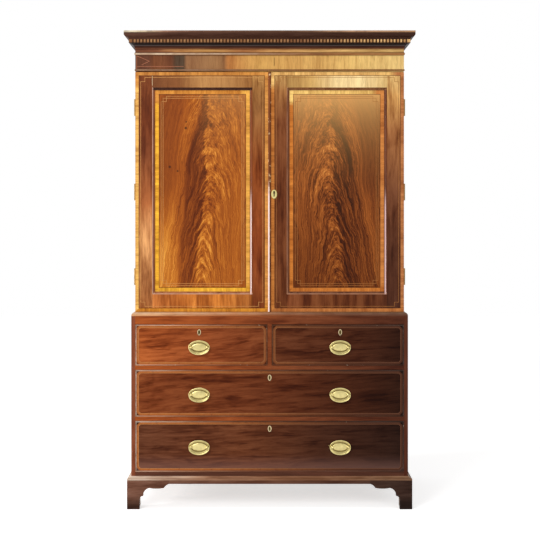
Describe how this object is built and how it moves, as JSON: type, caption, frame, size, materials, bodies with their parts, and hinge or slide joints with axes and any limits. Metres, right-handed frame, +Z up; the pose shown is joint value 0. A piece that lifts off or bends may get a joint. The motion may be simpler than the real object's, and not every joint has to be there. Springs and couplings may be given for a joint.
{
  "type": "linen press",
  "caption": "Tall inlaid mahogany linen press: panelled doors and sliding trays over a base of drawers on bracket feet, with a dentil cornice.",
  "frame": {"origin": "on the floor, below the middle of the overall box; the back boards and the cornice's front edge are equally far from it", "axes": "+Z up; -Y to the front, where the doors and drawers open; +X to the right of someone facing it"},
  "size_m": [1.308, 0.6, 2.15],
  "materials": {
    "mahogany_sides": "worn wax polish",
    "mahogany_rails": "worn wax polish",
    "mahogany_drawers": "french polish",
    "mahogany_moulding": "worn wax polish",
    "mahogany_dentils": "worn wax polish",
    "mahogany_frieze": "french polish",
    "mahogany_left_door": "french polish",
    "mahogany_right_door": "french polish",
    "flame_left_panel": "french polish",
    "flame_right_panel": "french polish",
    "pine": "unfinished, darkened",
    "oak": "unfinished, darkened",
    "brass": "aged, lightly tarnished"
  },
  "bodies": {
    "root": {"bracket_feet": "mahogany_moulding", "foot_blocks": "pine", "plinth_moulding": "mahogany_moulding", "plinth_frame": "mahogany_moulding", "base_sides": "mahogany_sides", "base_boards": "mahogany_rails", "drawer_rails": "mahogany_rails", "drawer_runners": "pine", "dust_boards": "pine", "base_back": "pine", "waist_moulding": "mahogany_moulding", "case_sides": "mahogany_sides", "case_boards": "mahogany_rails", "case_back": "pine", "tray_runners": "oak", "frieze_boards": "mahogany_frieze", "frieze_beads": "mahogany_moulding", "cornice_cove": "mahogany_moulding", "cornice_dentils": "mahogany_dentils", "cornice_crown": "mahogany_moulding", "case_hinges": "brass"},
    "left_door": {"left_door_frame": "mahogany_left_door", "left_door_panel": "flame_left_panel", "left_door_moulding": "mahogany_moulding", "left_door_brasses": "brass"},
    "right_door": {"right_door_frame": "mahogany_right_door", "right_door_panel": "flame_right_panel", "right_door_moulding": "mahogany_moulding", "right_door_hinges": "brass", "right_door_lock": "brass", "closing_bead": "mahogany_moulding"},
    "right_door_bolt": {"right_door_bolt": "brass"},
    "left_door_foot_bolt": {"left_door_foot_bolt": "brass"},
    "left_door_head_bolt": {"left_door_head_bolt": "brass"},
    "first_tray": {"first_tray": "oak"},
    "second_tray": {"second_tray": "oak"},
    "third_tray": {"third_tray": "oak"},
    "fourth_tray": {"fourth_tray": "oak"},
    "left_short_drawer": {"left_short_drawer_front": "mahogany_drawers", "left_short_drawer_box": "oak", "left_short_drawer_brasses": "brass"},
    "left_short_drawer_bolt": {"left_short_drawer_bolt": "brass"},
    "left_short_bail": {"left_short_bail": "brass"},
    "right_short_drawer": {"right_short_drawer_front": "mahogany_drawers", "right_short_drawer_box": "oak", "right_short_drawer_brasses": "brass"},
    "right_short_drawer_bolt": {"right_short_drawer_bolt": "brass"},
    "right_short_bail": {"right_short_bail": "brass"},
    "middle_drawer": {"middle_drawer_front": "mahogany_drawers", "middle_drawer_box": "oak", "middle_drawer_brasses": "brass"},
    "middle_drawer_bolt": {"middle_drawer_bolt": "brass"},
    "middle_left_bail": {"middle_left_bail": "brass"},
    "middle_right_bail": {"middle_right_bail": "brass"},
    "bottom_drawer": {"bottom_drawer_front": "mahogany_drawers", "bottom_drawer_box": "oak", "bottom_drawer_brasses": "brass"},
    "bottom_drawer_bolt": {"bottom_drawer_bolt": "brass"},
    "bottom_left_bail": {"bottom_left_bail": "brass"},
    "bottom_right_bail": {"bottom_right_bail": "brass"}
  },
  "joints": [
    {"name": "right_door_hinge", "type": "hinge", "parent": "root", "child": "right_door", "pos_m": [0.6123, -0.2295, 0.885], "axis": [0, 0, 1], "range_deg": [0, 175]},
    {"name": "left_door_hinge", "type": "hinge", "parent": "root", "child": "left_door", "pos_m": [-0.6123, -0.2295, 0.885], "axis": [0, 0, -1], "range_deg": [0, 175]},
    {"name": "right_door_lock_bolt", "type": "slide", "parent": "right_door", "child": "right_door_bolt", "axis": [-1, 0, 0], "range_m": [0, 0.008]},
    {"name": "left_door_foot_flush_bolt", "type": "slide", "parent": "left_door", "child": "left_door_foot_bolt", "axis": [0, 0, -1], "range_m": [0, 0.012]},
    {"name": "left_door_head_flush_bolt", "type": "slide", "parent": "left_door", "child": "left_door_head_bolt", "axis": [0, 0, 1], "range_m": [0, 0.012]},
    {"name": "first_tray_slide", "type": "slide", "parent": "root", "child": "first_tray", "axis": [0, -1, 0], "range_m": [0, 0.3]},
    {"name": "second_tray_slide", "type": "slide", "parent": "root", "child": "second_tray", "axis": [0, -1, 0], "range_m": [0, 0.3]},
    {"name": "third_tray_slide", "type": "slide", "parent": "root", "child": "third_tray", "axis": [0, -1, 0], "range_m": [0, 0.3]},
    {"name": "fourth_tray_slide", "type": "slide", "parent": "root", "child": "fourth_tray", "axis": [0, -1, 0], "range_m": [0, 0.3]},
    {"name": "left_short_drawer_slide", "type": "slide", "parent": "root", "child": "left_short_drawer", "axis": [0, -1, 0], "range_m": [0, 0.4]},
    {"name": "left_short_drawer_lock_bolt", "type": "slide", "parent": "left_short_drawer", "child": "left_short_drawer_bolt", "axis": [0, 0, 1], "range_m": [0, 0.007]},
    {"name": "left_short_bail_swing", "type": "hinge", "parent": "left_short_drawer", "child": "left_short_bail", "pos_m": [-0.318, -0.282, 0.7265], "axis": [-1, 0, 0], "range_deg": [0, 95]},
    {"name": "right_short_drawer_slide", "type": "slide", "parent": "root", "child": "right_short_drawer", "axis": [0, -1, 0], "range_m": [0, 0.4]},
    {"name": "right_short_drawer_lock_bolt", "type": "slide", "parent": "right_short_drawer", "child": "right_short_drawer_bolt", "axis": [0, 0, 1], "range_m": [0, 0.007]},
    {"name": "right_short_bail_swing", "type": "hinge", "parent": "right_short_drawer", "child": "right_short_bail", "pos_m": [0.318, -0.282, 0.7265], "axis": [-1, 0, 0], "range_deg": [0, 95]},
    {"name": "middle_drawer_slide", "type": "slide", "parent": "root", "child": "middle_drawer", "axis": [0, -1, 0], "range_m": [0, 0.4]},
    {"name": "middle_drawer_lock_bolt", "type": "slide", "parent": "middle_drawer", "child": "middle_drawer_bolt", "axis": [0, 0, 1], "range_m": [0, 0.007]},
    {"name": "middle_left_bail_swing", "type": "hinge", "parent": "middle_drawer", "child": "middle_left_bail", "pos_m": [-0.318, -0.282, 0.513], "axis": [-1, 0, 0], "range_deg": [0, 95]},
    {"name": "middle_right_bail_swing", "type": "hinge", "parent": "middle_drawer", "child": "middle_right_bail", "pos_m": [0.318, -0.282, 0.513], "axis": [-1, 0, 0], "range_deg": [0, 95]},
    {"name": "bottom_drawer_slide", "type": "slide", "parent": "root", "child": "bottom_drawer", "axis": [0, -1, 0], "range_m": [0, 0.4]},
    {"name": "bottom_drawer_lock_bolt", "type": "slide", "parent": "bottom_drawer", "child": "bottom_drawer_bolt", "axis": [0, 0, 1], "range_m": [0, 0.007]},
    {"name": "bottom_left_bail_swing", "type": "hinge", "parent": "bottom_drawer", "child": "bottom_left_bail", "pos_m": [-0.318, -0.282, 0.2765], "axis": [-1, 0, 0], "range_deg": [0, 95]},
    {"name": "bottom_right_bail_swing", "type": "hinge", "parent": "bottom_drawer", "child": "bottom_right_bail", "pos_m": [0.318, -0.282, 0.2765], "axis": [-1, 0, 0], "range_deg": [0, 95]}
  ],
  "couplings": [
    {"joint": "left_door_hinge", "follows": "right_door_hinge", "ratio": 1},
    {"joint": "first_tray_slide", "follows": "right_door_hinge", "m_per_rad": 0.09822},
    {"joint": "second_tray_slide", "follows": "right_door_hinge", "m_per_rad": 0.09822},
    {"joint": "third_tray_slide", "follows": "right_door_hinge", "m_per_rad": 0.09822},
    {"joint": "fourth_tray_slide", "follows": "right_door_hinge", "m_per_rad": 0.09822}
  ]
}
